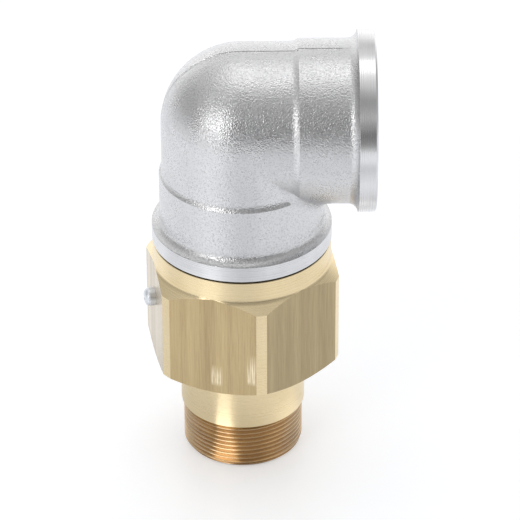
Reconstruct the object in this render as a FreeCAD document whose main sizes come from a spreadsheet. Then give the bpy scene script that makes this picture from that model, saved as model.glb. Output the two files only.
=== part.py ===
import FreeCAD, Part
import math
import os
from types import SimpleNamespace

import Sketcher

# Hose reel swivel: a brass casing screws into the reel's hub, and a nickel-plated
# elbow turns on it, carried by a hollow spindle in two ball bearings.
#
# Frame: Z is the swivel axis, with the origin on it at the bottom end face of the
# male thread. X points out of the elbow's hose port. Lengths are in millimetres.

# Driving sizes. A radius is measured from the axis of its own piece.
SIZES = {
    # Casing, outside: male thread M36 x 1.5, neck, hexagon and collar
    "thread_radius": 18.0,
    "thread_length": 14.9,
    "thread_lead": 1.4,
    "neck_step": 0.5,
    "neck_length": 19.1,
    "neck_taper": 1.6,
    "hex_wall": 3.25,
    "hex_corner": 3.25,
    "hex_height": 31.9,
    "hex_low_chamfer": 1.8,
    "hex_high_chamfer": 2.7,
    "hex_turn": 10.6,
    "collar_wall": 3.1,
    "collar_edge": 0.3,
    "collar_cove": 2.0,
    # Casing, inside, counted upwards from the underside of the hexagon
    "water_radius": 14.0,
    "floor_thickness": 0.8,
    "nose_land": 1.2,
    "main_seal_height": 2.4,
    "main_seal_section": 2.25,
    "seal_notch": 0.9,
    "backup_height": 1.0,
    "seal_land": 0.6,
    "grease_seal_height": 1.3,
    "grease_seal_section": 1.75,
    "relief_land": 0.4,
    "relief_height": 2.6,
    "relief_section": 3.5,
    # Ball bearings, both the same, and the sleeves between them
    "bearing_section": 6.0,
    "bearing_width": 7.0,
    "ball_radius": 1.985,
    "ball_count": 12.0,
    "race_gap": 0.06,
    "land_offset": 1.2,
    "cage_width": 5.2,
    "cage_gap": 0.3,
    "pocket_gap": 0.12,
    "bearing_edge": 0.3,
    "spacer_width": 6.0,
    "inner_spacer_wall": 1.7,
    "outer_spacer_wall": 1.7,
    # Retaining rings
    "casing_ring_thickness": 1.75,
    "casing_ring_width": 2.45,
    "casing_groove_depth": 1.2,
    "casing_ring_gap": 12.0,
    "spindle_ring_thickness": 1.5,
    "spindle_ring_width": 2.4,
    "spindle_groove_depth": 0.9,
    "spindle_ring_gap": 9.0,
    "plier_hole_radius": 0.75,
    # Dust seal in the casing's mouth
    "mouth_land": 1.3,
    "mouth_step": 0.5,
    "dust_seal_height": 4.0,
    "dust_seal_web": 1.2,
    "dust_seal_lip": 0.9,
    "mouth_recess": 1.05,
    # Spindle: its journal sets the bearings, seals, casing and joint round it
    "journal_radius": 17.5,
    "spindle_wall": 4.0,
    "nose_step": 0.6,
    "nose_gap": 0.5,
    "nose_edge": 0.5,
    "journal_gap": 0.3,
    "shoulder_step": 2.9,
    "spindle_thread_rise": 0.55,
    "spindle_thread_length": 15.5,
    "spindle_thread_edge": 1.0,
    # Elbow: two alike legs, each with a socket that ends in a ring
    "swivel_gap": 0.35,
    "elbow_reach": 39.2,
    "socket_wall": 3.35,
    "socket_length": 22.3,
    "socket_step": 0.8,
    "socket_blend": 2.3,
    "ring_step": 2.5,
    "ring_width": 5.3,
    "ring_edge": 0.5,
    "ring_fillet": 2.4,
    "cast_wall": 5.0,
    "port_radius": 19.476,
    "port_depth": 19.0,
    "port_lead": 1.7,
    "spindle_thread_gap": 1.0,
    # Grease nipple, with its check ball and spring
    "nipple_head_radius": 2.8,
    "nipple_head_height": 3.1,
    "nipple_dome": 1.9,
    "nipple_shank_radius": 2.5,
    "nipple_setback": 0.3,
    "nipple_bore": 1.15,
    "nipple_seat_depth": 1.0,
    "nipple_mouth_radius": 0.75,
    "nipple_funnel_radius": 1.1,
    "nipple_funnel_depth": 0.6,
    "nipple_lip_radius": 0.5,
    "nipple_lip": 0.5,
    "check_ball_radius": 1.0,
    "spring_wire": 0.15,
    "spring_radius": 0.75,
    "spring_turns": 5.0,
    "grease_hole_radius": 1.25,
    # Fits: radial clearances
    "running_fit": 0.05,
    "seat_fit": 0.02,
    "end_play": 0.05,
}


class Term:
    """A length with both its number and the expression that ties it to the sheet."""

    def __init__(self, number, text):
        self.number = number
        self.text = text

    def joined(self, other, sign, number):
        other_text = other.text if isinstance(other, Term) else repr(other)
        return Term(number, f"({self.text} {sign} {other_text})")

    def __add__(self, other):
        return self.joined(other, "+", self.number + plain(other))

    def __sub__(self, other):
        return self.joined(other, "-", self.number - plain(other))

    def __mul__(self, other):
        return self.joined(other, "*", self.number * plain(other))

    def __truediv__(self, other):
        return self.joined(other, "/", self.number / plain(other))

    def __neg__(self):
        return Term(-self.number, f"(-{self.text})")


def plain(value):
    """The number of a Term, or the number itself."""
    return value.number if isinstance(value, Term) else value


doc = FreeCAD.newDocument("HoseReelSwivel")


def make_sheet():
    """Write the driving sizes to the sheet and hand back a Term for each."""
    sheet = doc.addObject("Spreadsheet::Sheet", "Sizes")
    terms = {}
    for row, (alias, number) in enumerate(SIZES.items(), start=1):
        sheet.set(f"A{row}", alias)
        sheet.set(f"B{row}", str(number))
        sheet.setAlias(f"B{row}", alias)
        terms[alias] = Term(number, f"Sizes.{alias}")
    doc.recompute()
    return SimpleNamespace(**terms)


def add_levels(s):
    """Heights on the swivel axis, each stacked on the one below it."""
    s.hex_z = s.thread_length + s.neck_length
    s.collar_z = s.hex_z + s.hex_height
    s.nose_z = s.hex_z + s.floor_thickness
    s.seal_z = s.nose_z + s.nose_land
    s.backup_z = s.seal_z + s.main_seal_height
    s.main_groove_top = s.backup_z + s.backup_height + s.end_play
    s.grease_seal_z = s.main_groove_top + s.seal_land
    s.grease_groove_top = s.grease_seal_z + s.grease_seal_height + s.end_play
    s.relief_z = s.grease_groove_top + s.relief_land
    s.lower_bearing_z = s.relief_z + s.relief_height
    s.spacer_z = s.lower_bearing_z + s.bearing_width
    s.nipple_z = s.spacer_z + s.spacer_width / 2
    s.upper_bearing_z = s.spacer_z + s.spacer_width
    s.shoulder_z = s.upper_bearing_z + s.bearing_width
    s.casing_groove_top = s.shoulder_z + s.casing_ring_thickness + s.end_play
    s.dust_seal_z = s.casing_groove_top + s.mouth_land
    s.casing_top = s.dust_seal_z + s.dust_seal_height + s.mouth_recess
    s.elbow_face_z = s.casing_top + s.swivel_gap
    s.elbow_z = s.elbow_face_z + s.elbow_reach
    return s


def add_radii(s):
    """Radii, each a wall or a step away from the piece inside it."""
    s.neck_radius = s.thread_radius + s.neck_step
    s.spindle_bore = s.journal_radius - s.spindle_wall
    s.nose_radius = s.journal_radius - s.nose_step
    s.spindle_groove = s.journal_radius - s.spindle_groove_depth
    s.shoulder_radius = s.journal_radius + s.shoulder_step
    s.spindle_thread_radius = s.shoulder_radius + s.spindle_thread_rise

    s.seal_bore = s.nose_radius + s.running_fit
    s.main_seal_radius = s.seal_bore + s.main_seal_section
    s.grease_seal_radius = s.seal_bore + s.grease_seal_section
    s.relief_radius = s.journal_radius + s.relief_section
    s.bearing_radius = s.journal_radius + s.bearing_section
    s.ball_pitch = (s.journal_radius + s.bearing_radius) / 2
    s.inner_land = s.ball_pitch - s.land_offset
    s.outer_land = s.ball_pitch + s.land_offset
    s.race_radius = s.ball_radius + s.race_gap
    s.casing_groove = s.bearing_radius + s.casing_groove_depth
    s.mouth_radius = s.bearing_radius + s.mouth_step

    s.collar_radius = s.bearing_radius + s.collar_wall
    s.face = s.bearing_radius + s.hex_wall
    s.hex_round = s.face + s.hex_corner

    s.joint_bore = s.spindle_thread_radius + s.running_fit
    s.socket_radius = s.spindle_thread_radius + s.socket_wall
    s.ring_radius = s.socket_radius + s.ring_step
    s.elbow_radius = s.socket_radius - s.socket_step
    s.passage_radius = s.elbow_radius - s.cast_wall
    return s


size = add_radii(add_levels(make_sheet()))


# Helpers for bodies and sketches


def new_body(label, height=None, turn=None):
    """A body whose own origin is lifted by height and turned about the swivel axis."""
    body = doc.addObject("PartDesign::Body", label)
    body.Label = label
    if turn is not None:
        body.Placement.Rotation = FreeCAD.Rotation(FreeCAD.Vector(0, 0, 1), turn.number)
        body.setExpression("Placement.Rotation.Angle", turn.text)
    if height is not None:
        body.setExpression("Placement.Base.z", height.text)
    return body


def new_sketch(body, name, plane="XZ_Plane"):
    """An empty sketch on one of the body's own origin planes."""
    sketch = body.newObject("Sketcher::SketchObject", name)
    support = next(item for item in body.Origin.OriginFeatures if item.Role == plane)
    sketch.AttachmentSupport = [(support, "")]
    sketch.MapMode = "FlatFace"
    return sketch


def tie(sketch, kind, item, point, value):
    """Hold one coordinate of a sketch point at a Term, or on the axis for a plain 0."""
    if isinstance(value, Term):
        number = sketch.addConstraint(
            Sketcher.Constraint(kind, -1, 1, item, point, value.number)
        )
        sketch.setExpression(f"Constraints[{number}]", value.text)
    else:
        axis = -2 if kind == "DistanceX" else -1
        sketch.addConstraint(Sketcher.Constraint("PointOnObject", item, point, axis))


def outline(body, name, corners, plane="XZ_Plane"):
    """A closed outline of straight edges through corners of (across, up) Terms."""
    sketch = new_sketch(body, name, plane)
    spots = [FreeCAD.Vector(plain(across), plain(up), 0) for across, up in corners]
    for number, spot in enumerate(spots):
        following = spots[(number + 1) % len(spots)]
        sketch.addGeometry(Part.LineSegment(spot, following), False)
    for number, (across, up) in enumerate(corners):
        following = (number + 1) % len(corners)
        sketch.addConstraint(Sketcher.Constraint("Coincident", number, 2, following, 1))
        tie(sketch, "DistanceX", number, 1, across)
        tie(sketch, "DistanceY", number, 1, up)
    return sketch


def circle(body, name, across, up, radius, plane="XZ_Plane"):
    """A circle with its centre and radius tied to the sheet."""
    sketch = new_sketch(body, name, plane)
    centre = FreeCAD.Vector(plain(across), plain(up), 0)
    sketch.addGeometry(Part.Circle(centre, FreeCAD.Vector(0, 0, 1), radius.number), False)
    tie(sketch, "DistanceX", 0, 3, across)
    tie(sketch, "DistanceY", 0, 3, up)
    number = sketch.addConstraint(Sketcher.Constraint("Radius", 0, radius.number))
    sketch.setExpression(f"Constraints[{number}]", radius.text)
    return sketch


def turn_about(body, kind, name, sketch, axis="V_Axis"):
    """Revolve (PartDesign::Revolution) or cut (PartDesign::Groove) a full turn."""
    feature = body.newObject(kind, name)
    feature.Profile = sketch
    feature.ReferenceAxis = (sketch, [axis])
    feature.Angle = 360
    return feature


def turned(label, corners, height=None, turn=None):
    """A body turned on a lathe from one outline of (radius, height) corners."""
    body = new_body(label, height, turn)
    profile = outline(body, f"{label}_profile", corners)
    turn_about(body, "PartDesign::Revolution", f"{label}_turned", profile)
    return body


def bored(body, name, corners, axis="V_Axis"):
    """Cut an outline of (radius, height) corners out of a turned body."""
    profile = outline(body, f"{name}_profile", corners)
    return turn_about(body, "PartDesign::Groove", name, profile, axis)


def cut_along(body, name, sketch, upwards):
    """A pocket all the way from its sketch plane to one side; it must remove metal."""
    doc.recompute()
    before = body.Shape.Volume
    pocket = body.newObject("PartDesign::Pocket", name)
    pocket.Profile = sketch
    pocket.Type = 1
    pocket.Reversed = upwards
    doc.recompute()
    if not body.Shape.Volume < before:
        raise RuntimeError(f"{name} cuts nothing")
    return pocket


def repeated(body, name, feature, count):
    """Repeat a feature evenly round the body's own Z axis."""
    pattern = body.newObject("PartDesign::PolarPattern", name)
    pattern.Originals = [feature]
    axis = next(item for item in body.Origin.OriginFeatures if item.Role == "Z_Axis")
    pattern.Axis = (axis, [""])
    pattern.Angle = 360
    pattern.Occurrences = int(plain(count))
    if isinstance(count, Term):
        pattern.setExpression("Occurrences", count.text)
    body.Tip = pattern
    return pattern


def rim_edges(body, radius, level, direction):
    """Names of the full circles of one radius, centred at one place along a direction."""
    doc.recompute()
    names = []
    for number, edge in enumerate(body.Tip.Shape.Edges, start=1):
        along = edge.CenterOfMass.dot(direction)
        full_turn = abs(edge.Length - 2 * math.pi * radius.number) < 0.001
        if full_turn and abs(along - level.number) < 0.001:
            names.append(f"Edge{number}")
    if not names:
        raise RuntimeError(f"no edge of radius {radius.number} on {body.Label}")
    return names


def rounded(body, name, edges, radius):
    """A fillet along the named edges of the body as it stands."""
    base = body.Tip
    fillet = body.newObject("PartDesign::Fillet", name)
    fillet.Base = (base, edges)
    fillet.setExpression("Radius", radius)
    doc.recompute()


def rectangle(low_across, low_up, high_across, high_up):
    """Corners of an upright rectangle."""
    return [
        (low_across, low_up),
        (high_across, low_up),
        (high_across, high_up),
        (low_across, high_up),
    ]


# Casing


def make_casing(s):
    """Brass casing: thread, neck, hexagon and collar, bored for seals and bearings."""
    casing = turned(
        "casing",
        [
            (s.water_radius, 0),
            (s.thread_radius - s.thread_lead, 0),
            (s.thread_radius, s.thread_lead),
            (s.thread_radius, s.thread_length),
            (s.neck_radius, s.thread_length + s.neck_taper),
            (s.neck_radius, s.hex_z),
            (s.face, s.hex_z),
            (s.hex_round, s.hex_z + s.hex_low_chamfer),
            (s.hex_round, s.collar_z - s.hex_high_chamfer),
            (s.collar_radius, s.collar_z),
            (s.collar_radius, s.casing_top - s.collar_edge),
            (s.collar_radius - s.collar_edge, s.casing_top),
            (s.water_radius, s.casing_top),
        ],
        turn=s.hex_turn,
    )

    # A cove leads from the bar's chamfer up into the collar
    root = rim_edges(casing, s.collar_radius, s.collar_z, FreeCAD.Vector(0, 0, 1))
    rounded(casing, "collar_root", root, s.collar_cove.text)

    # The hexagon: one flat milled off the round bar, six times
    stock = s.hex_round * 1.2
    flat = outline(casing, "flat_profile", rectangle(s.face, -stock, stock, stock), "XY_Plane")
    milled = cut_along(casing, "flat", flat, True)
    repeated(casing, "flats", milled, 6)

    # Chambers, from the spindle's nose up to the mouth
    bored(
        casing,
        "chambers",
        [
            (s.water_radius - 1, s.nose_z),
            (s.seal_bore, s.nose_z),
            (s.seal_bore, s.seal_z),
            (s.main_seal_radius, s.seal_z),
            (s.main_seal_radius, s.main_groove_top),
            (s.seal_bore, s.main_groove_top),
            (s.seal_bore, s.grease_seal_z),
            (s.grease_seal_radius, s.grease_seal_z),
            (s.grease_seal_radius, s.grease_groove_top),
            (s.seal_bore, s.grease_groove_top),
            (s.seal_bore, s.relief_z),
            (s.relief_radius, s.relief_z),
            (s.relief_radius, s.lower_bearing_z),
            (s.bearing_radius, s.lower_bearing_z),
            (s.bearing_radius, s.shoulder_z),
            (s.casing_groove, s.shoulder_z),
            (s.casing_groove, s.casing_groove_top),
            (s.bearing_radius, s.casing_groove_top),
            (s.bearing_radius, s.dust_seal_z),
            (s.mouth_radius, s.dust_seal_z),
            (s.mouth_radius, s.casing_top + 1),
            (s.water_radius - 1, s.casing_top + 1),
        ],
    )

    # The nipple's hole goes through the flat on the side away from the hose port
    hole = circle(
        casing, "nipple_hole_profile", 0, s.nipple_z, s.nipple_shank_radius + s.seat_fit, "YZ_Plane"
    )
    cut_along(casing, "nipple_hole", hole, False)
    return casing


# Seals and retaining rings


def make_seals(s):
    """Water seal with its backup ring, grease seal and dust seal, all in the casing."""
    foot = s.main_seal_radius - s.seat_fit
    middle = (foot + s.seal_bore) / 2
    turned(
        "main_seal",
        [
            (s.seal_bore, 0),
            (middle - s.seal_notch / 2, 0),
            (middle, s.main_seal_height / 2),
            (middle + s.seal_notch / 2, 0),
            (foot, 0),
            (foot, s.main_seal_height),
            (s.seal_bore, s.main_seal_height),
        ],
        s.seal_z,
    )
    turned("backup_ring", rectangle(s.seal_bore, 0, foot, s.backup_height), s.backup_z)
    turned(
        "grease_seal",
        rectangle(s.seal_bore, 0, s.grease_seal_radius - s.seat_fit, s.grease_seal_height),
        s.grease_seal_z,
    )
    lip = s.shoulder_radius + s.running_fit
    outer = s.mouth_radius - s.seat_fit
    turned(
        "dust_seal",
        [
            (lip, s.dust_seal_height - s.dust_seal_web),
            (lip + s.dust_seal_lip, 0),
            (outer, 0),
            (outer, s.dust_seal_height),
            (lip, s.dust_seal_height),
        ],
        s.dust_seal_z,
    )


def make_split_ring(label, inner, outer, thickness, gap, height, s):
    """A retaining ring with its gap and a plier hole near each end."""
    ring = turned(label, rectangle(inner, 0, outer, thickness), height)
    opening = outline(ring, f"{label}_gap_profile", rectangle(-gap / 2, 0, gap / 2, outer * 1.1), "XY_Plane")
    cut_along(ring, f"{label}_gap", opening, True)
    middle = (inner + outer) / 2
    across = gap / 2 + s.plier_hole_radius * 2
    drop = plain(middle) - (plain(middle) ** 2 - plain(across) ** 2) ** 0.5
    for side, place in (("left", -across), ("right", across)):
        eye = circle(
            ring, f"{label}_{side}_eye", place, middle - round(drop, 2), s.plier_hole_radius, "XY_Plane"
        )
        cut_along(ring, f"{label}_{side}_hole", eye, True)


def make_retaining_rings(s):
    """The ring that holds the bearings in the casing, and the one on the spindle."""
    outer = s.casing_groove - s.seat_fit
    make_split_ring(
        "casing_retaining_ring",
        outer - s.casing_ring_width,
        outer,
        s.casing_ring_thickness,
        s.casing_ring_gap,
        s.shoulder_z,
        s,
    )
    inner = s.spindle_groove + s.seat_fit
    make_split_ring(
        "spindle_retaining_ring",
        inner,
        inner + s.spindle_ring_width,
        s.spindle_ring_thickness,
        s.spindle_ring_gap,
        s.lower_bearing_z - s.spindle_ring_thickness,
        s,
    )


# Bearings


def race(body, name, s):
    """The ball groove round a bearing ring."""
    groove = circle(body, f"{name}_profile", s.ball_pitch, s.bearing_width / 2, s.race_radius)
    turn_about(body, "PartDesign::Groove", name, groove)


def make_bearing(prefix, height, s):
    """One caged ball bearing: outer ring, inner ring, cage and balls."""
    outer = s.bearing_radius - s.seat_fit
    edge = s.bearing_edge
    outer_ring = turned(
        f"{prefix}_outer_ring",
        [
            (s.outer_land, 0),
            (outer - edge, 0),
            (outer, edge),
            (outer, s.bearing_width - edge),
            (outer - edge, s.bearing_width),
            (s.outer_land, s.bearing_width),
        ],
        height,
    )
    race(outer_ring, f"{prefix}_outer_race", s)
    inner = s.journal_radius + s.seat_fit
    inner_ring = turned(
        f"{prefix}_inner_ring",
        [
            (inner + edge, 0),
            (s.inner_land, 0),
            (s.inner_land, s.bearing_width),
            (inner + edge, s.bearing_width),
            (inner, s.bearing_width - edge),
            (inner, edge),
        ],
        height,
    )
    race(inner_ring, f"{prefix}_inner_race", s)
    make_cage(prefix, height, s)
    make_balls(prefix, height, s)


def make_cage(prefix, height, s):
    """Moulded cage: a ring between the lands with a round pocket for each ball."""
    side = (s.bearing_width - s.cage_width) / 2
    cage = turned(
        f"{prefix}_cage",
        rectangle(
            s.inner_land + s.cage_gap, side, s.outer_land - s.cage_gap, side + s.cage_width
        ),
        height,
    )
    hole = circle(
        cage,
        f"{prefix}_pocket_profile",
        0,
        s.bearing_width / 2,
        s.ball_radius + s.pocket_gap,
        "YZ_Plane",
    )
    pocket = cut_along(cage, f"{prefix}_pocket", hole, True)
    repeated(cage, f"{prefix}_pockets", pocket, s.ball_count)


def make_balls(prefix, height, s):
    """The bearing's balls, one in each pocket of the cage, as one group."""
    balls = []
    for number in range(int(s.ball_count.number)):
        ball = doc.addObject("Part::Sphere", f"{prefix}_ball_{number + 1}")
        turn = f"(360 / Sizes.ball_count * {number})"
        ball.setExpression("Radius", s.ball_radius.text)
        ball.setExpression("Placement.Base.x", f"{s.ball_pitch.text} * cos({turn})")
        ball.setExpression("Placement.Base.y", f"{s.ball_pitch.text} * sin({turn})")
        ball.setExpression("Placement.Base.z", (s.bearing_width / 2).text)
        balls.append(ball)
    group = doc.addObject("Part::Compound", f"{prefix}_balls")
    group.Label = f"{prefix}_balls"
    group.Links = balls
    group.setExpression("Placement.Base.z", height.text)


def make_spacers(s):
    """Sleeves that keep the bearings apart; the outer one lets the grease through."""
    turned(
        "inner_spacer",
        rectangle(
            s.journal_radius + s.seat_fit,
            0,
            s.journal_radius + s.seat_fit + s.inner_spacer_wall,
            s.spacer_width,
        ),
        s.spacer_z,
    )
    outer = s.bearing_radius - s.seat_fit
    sleeve = turned(
        "outer_spacer",
        rectangle(outer - s.outer_spacer_wall, 0, outer, s.spacer_width),
        s.spacer_z,
        s.hex_turn,
    )
    hole = circle(
        sleeve, "grease_hole_profile", 0, s.spacer_width / 2, s.grease_hole_radius, "YZ_Plane"
    )
    cut_along(sleeve, "grease_hole", hole, False)


# Turning parts: spindle and elbow


def make_spindle(s):
    """Hollow spindle: sealed nose, journal for both bearings, and a thread on top."""
    thread_z = s.elbow_face_z + s.port_lead
    top = thread_z + s.spindle_thread_length
    ring_z = s.lower_bearing_z - s.spindle_ring_thickness - s.end_play
    nose_end = s.nose_z + s.nose_gap
    turned(
        "spindle",
        [
            (s.spindle_bore, nose_end),
            (s.nose_radius - s.nose_edge, nose_end),
            (s.nose_radius, nose_end + s.nose_edge),
            (s.nose_radius, s.relief_z + s.journal_gap),
            (s.journal_radius, s.relief_z + s.journal_gap),
            (s.journal_radius, ring_z),
            (s.spindle_groove, ring_z),
            (s.spindle_groove, s.lower_bearing_z),
            (s.journal_radius, s.lower_bearing_z),
            (s.journal_radius, s.shoulder_z),
            (s.shoulder_radius, s.shoulder_z),
            (s.shoulder_radius, thread_z),
            (s.spindle_thread_radius, thread_z),
            (s.spindle_thread_radius, top - s.spindle_thread_edge),
            (s.spindle_thread_radius - s.spindle_thread_edge, top),
            (s.spindle_bore, top),
        ],
    )


def leg_outline(s, place):
    """Half the outside of one elbow leg, from its centre out to its ring."""
    ring_back = s.elbow_reach - s.ring_width
    socket_end = s.elbow_reach - s.socket_length
    stations = [
        (s.elbow_reach, 0),
        (s.elbow_reach, s.ring_radius - s.ring_edge),
        (s.elbow_reach - s.ring_edge, s.ring_radius),
        (ring_back, s.ring_radius),
        (ring_back, s.socket_radius),
        (socket_end, s.socket_radius),
        (socket_end - s.socket_blend, s.elbow_radius),
        (0, s.elbow_radius),
        (0, 0),
    ]
    return [place(along, radius) for along, radius in stations]


def leg_bore(s, place, radius, depth):
    """Half the inside of one elbow leg: a lead-in, the threaded socket, the passage."""
    end = s.elbow_reach - depth
    lead = s.port_lead
    stations = [
        (s.elbow_reach + 1, 0),
        (s.elbow_reach + 1, radius + lead),
        (s.elbow_reach, radius + lead),
        (s.elbow_reach - lead, radius),
        (end, radius),
        (end, s.passage_radius),
        (0, s.passage_radius),
        (0, 0),
    ]
    return [place(along, across) for along, across in stations]


def downwards(along, radius):
    """A station of the lower leg, as a sketch point of (radius, height)."""
    return (radius, -along if isinstance(along, Term) else 0)


def outwards(along, radius):
    """A station of the hose leg, as a sketch point of (reach, radius)."""
    return (along, radius)


def make_elbow(s):
    """Cast elbow: two socketed legs that meet in a round corner, hollow throughout."""
    elbow = new_body("elbow", s.elbow_z)
    lower = outline(elbow, "lower_leg_profile", leg_outline(s, downwards))
    turn_about(elbow, "PartDesign::Revolution", "lower_leg", lower)
    hose = outline(elbow, "hose_leg_profile", leg_outline(s, outwards))
    turn_about(elbow, "PartDesign::Revolution", "hose_leg", hose, "H_Axis")
    corner = elbow.newObject("PartDesign::AdditiveSphere", "corner")
    corner.setExpression("Radius", s.elbow_radius.text)
    doc.recompute()

    # A fillet runs round the root of each ring
    ring_back = s.elbow_reach - s.ring_width
    down = rim_edges(elbow, s.socket_radius, ring_back, FreeCAD.Vector(0, 0, -1))
    out = rim_edges(elbow, s.socket_radius, ring_back, FreeCAD.Vector(1, 0, 0))
    rounded(elbow, "ring_fillets", down + out, f"min({s.ring_fillet.text}; {s.ring_step.text} * 0.96)")

    joint_depth = s.port_lead + s.spindle_thread_length + s.spindle_thread_gap
    bored(elbow, "spindle_socket", leg_bore(s, downwards, s.joint_bore, joint_depth))
    bored(elbow, "hose_port", leg_bore(s, outwards, s.port_radius, s.port_depth), "H_Axis")
    core = elbow.newObject("PartDesign::SubtractiveSphere", "corner_core")
    core.setExpression("Radius", s.passage_radius.text)


# Grease nipple


def make_nipple(s):
    """Grease nipple on the flat, with the check ball and its spring inside."""
    inner_end = s.bearing_radius + s.nipple_setback
    tip = s.face + s.nipple_head_height
    seat_end = tip - s.nipple_funnel_depth
    seat_start = seat_end - s.nipple_seat_depth
    lip_end = inner_end + s.nipple_lip

    nipple = new_body("grease_nipple", s.nipple_z, s.hex_turn)
    profile = outline(
        nipple,
        "grease_nipple_profile",
        [
            (-inner_end, s.nipple_lip_radius),
            (-inner_end, s.nipple_shank_radius),
            (-s.face, s.nipple_shank_radius),
            (-s.face, s.nipple_head_radius),
            (-tip, s.nipple_head_radius),
            (-tip, s.nipple_funnel_radius),
            (-seat_end, s.nipple_mouth_radius),
            (-seat_start, s.nipple_bore),
            (-lip_end, s.nipple_bore),
            (-lip_end, s.nipple_lip_radius),
        ],
    )
    turn_about(nipple, "PartDesign::Revolution", "grease_nipple_turned", profile, "H_Axis")
    rim = rim_edges(nipple, s.nipple_head_radius, tip, FreeCAD.Vector(-1, 0, 0))
    end_wall = s.nipple_head_radius - s.nipple_funnel_radius
    rounded(nipple, "grease_nipple_dome", rim, f"min({s.nipple_dome.text}; {end_wall.text} * 0.96)")

    # The ball touches the cone between the bore and the mouth
    run = s.nipple_seat_depth.number
    rise = (s.nipple_bore - s.nipple_mouth_radius).number
    slope = (run**2 + rise**2) ** 0.5
    reach = (s.check_ball_radius + s.running_fit).number * slope / run
    inset = (s.nipple_bore.number - reach) / rise * run
    ball_x = seat_start + round(inset, 3)
    ball = doc.addObject("Part::Sphere", "check_ball_sphere")
    ball.setExpression("Radius", s.check_ball_radius.text)
    ball.setExpression("Placement.Base.x", (-ball_x).text)
    holder = doc.addObject("Part::Compound", "check_ball")
    holder.Label = "check_ball"
    holder.Links = [ball]
    holder.Placement.Rotation = FreeCAD.Rotation(FreeCAD.Vector(0, 0, 1), s.hex_turn.number)
    holder.setExpression("Placement.Rotation.Angle", s.hex_turn.text)
    holder.setExpression("Placement.Base.z", s.nipple_z.text)

    spring = new_body("check_spring", s.nipple_z, s.hex_turn)
    start = lip_end + s.spring_wire + s.end_play
    finish = ball_x - s.check_ball_radius * 0.8
    wire = circle(spring, "check_spring_wire", -start, s.spring_radius, s.spring_wire)
    coil = spring.newObject("PartDesign::AdditiveHelix", "check_spring_coil")
    coil.Profile = wire
    coil.ReferenceAxis = (wire, ["H_Axis"])
    coil.Mode = "height-turns-angle"
    coil.setExpression("Height", (finish - start).text)
    coil.setExpression("Turns", s.spring_turns.text)
    coil.Reversed = True


# The whole swivel

make_casing(size)
make_seals(size)
make_retaining_rings(size)
make_bearing("lower", size.lower_bearing_z, size)
make_bearing("upper", size.upper_bearing_z, size)
make_spacers(size)
make_spindle(size)
make_elbow(size)
make_nipple(size)
doc.recompute()

NODES = [
    "casing",
    "main_seal",
    "backup_ring",
    "grease_seal",
    "dust_seal",
    "casing_retaining_ring",
    "spindle_retaining_ring",
    "lower_outer_ring",
    "lower_inner_ring",
    "lower_cage",
    "lower_balls",
    "upper_outer_ring",
    "upper_inner_ring",
    "upper_cage",
    "upper_balls",
    "inner_spacer",
    "outer_spacer",
    "spindle",
    "elbow",
    "grease_nipple",
    "check_ball",
    "check_spring",
]

for item in doc.Objects:
    if "Invalid" in item.State or "Error" in item.State:
        raise RuntimeError(f"{item.Label} failed: {item.State}")

os.makedirs("parts", exist_ok=True)
for label in NODES:
    shape = doc.getObjectsByLabel(label)[0].Shape
    if shape.isNull() or not shape.isValid():
        raise RuntimeError(f"{label} has no valid shape")
    shape.exportStep(os.path.join("parts", f"{label}.step"))
    box = shape.BoundBox
    print(
        f"{label}: {len(shape.Solids)} solid(s), {shape.Volume:.1f} mm3, "
        f"x {box.XMin:.2f}..{box.XMax:.2f} y {box.YMin:.2f}..{box.YMax:.2f} "
        f"z {box.ZMin:.2f}..{box.ZMax:.2f}"
    )
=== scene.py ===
import logging
import math
from dataclasses import dataclass, field
from enum import Enum
from typing import Any, Callable

import bmesh
import bpy
from mathutils import Matrix, Vector


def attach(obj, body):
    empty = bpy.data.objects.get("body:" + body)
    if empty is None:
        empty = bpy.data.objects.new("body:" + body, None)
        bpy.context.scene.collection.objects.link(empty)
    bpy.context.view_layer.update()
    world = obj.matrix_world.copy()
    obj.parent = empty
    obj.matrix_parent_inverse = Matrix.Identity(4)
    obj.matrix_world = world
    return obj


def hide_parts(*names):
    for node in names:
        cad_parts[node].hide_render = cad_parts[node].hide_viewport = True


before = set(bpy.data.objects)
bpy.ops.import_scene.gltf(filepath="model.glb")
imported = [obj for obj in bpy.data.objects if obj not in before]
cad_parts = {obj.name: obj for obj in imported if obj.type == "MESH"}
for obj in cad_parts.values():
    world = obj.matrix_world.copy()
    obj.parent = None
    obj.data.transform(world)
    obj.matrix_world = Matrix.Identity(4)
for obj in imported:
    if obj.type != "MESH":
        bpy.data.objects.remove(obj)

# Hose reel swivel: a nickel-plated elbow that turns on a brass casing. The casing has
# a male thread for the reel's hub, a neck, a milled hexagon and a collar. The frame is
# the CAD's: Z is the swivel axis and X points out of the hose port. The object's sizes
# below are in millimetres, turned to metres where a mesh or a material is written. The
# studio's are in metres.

log = logging.getLogger("hose_reel_swivel")
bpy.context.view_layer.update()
MM = 0.001
SAME_PLACE = 2e-6  # Corners nearer than this, in metres, are one
CREASE = math.radians(20)  # Faces that meet at more than this have a sharp edge

# The kinds of node that come up most. A range's inputs are the value, then the two ends
# that it goes from and the two that it goes to, 0 and 1 where they aren't given.
MATH = "ShaderNodeMath"
VECTOR_MATH = "ShaderNodeVectorMath"
RANGE = "ShaderNodeMapRange"
MIX = "ShaderNodeMix"
NOISE = "ShaderNodeTexNoise"
BUMP = "ShaderNodeBump"

Tree = bpy.types.NodeTree
Node = bpy.types.Node
Socket = bpy.types.NodeSocket


def linear(colour: str) -> tuple[float, float, float, float]:
    """Turn an sRGB hex colour into linear light.

    Args:
        colour: Six hex digits after a hash sign.

    Returns:
        Red, green, blue and a full alpha.
    """
    shares = [int(colour[place : place + 2], 16) / 255 for place in (1, 3, 5)]
    light = [s / 12.92 if s <= 0.04045 else ((s + 0.055) / 1.055) ** 2.4 for s in shares]
    return (light[0], light[1], light[2], 1.0)


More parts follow.
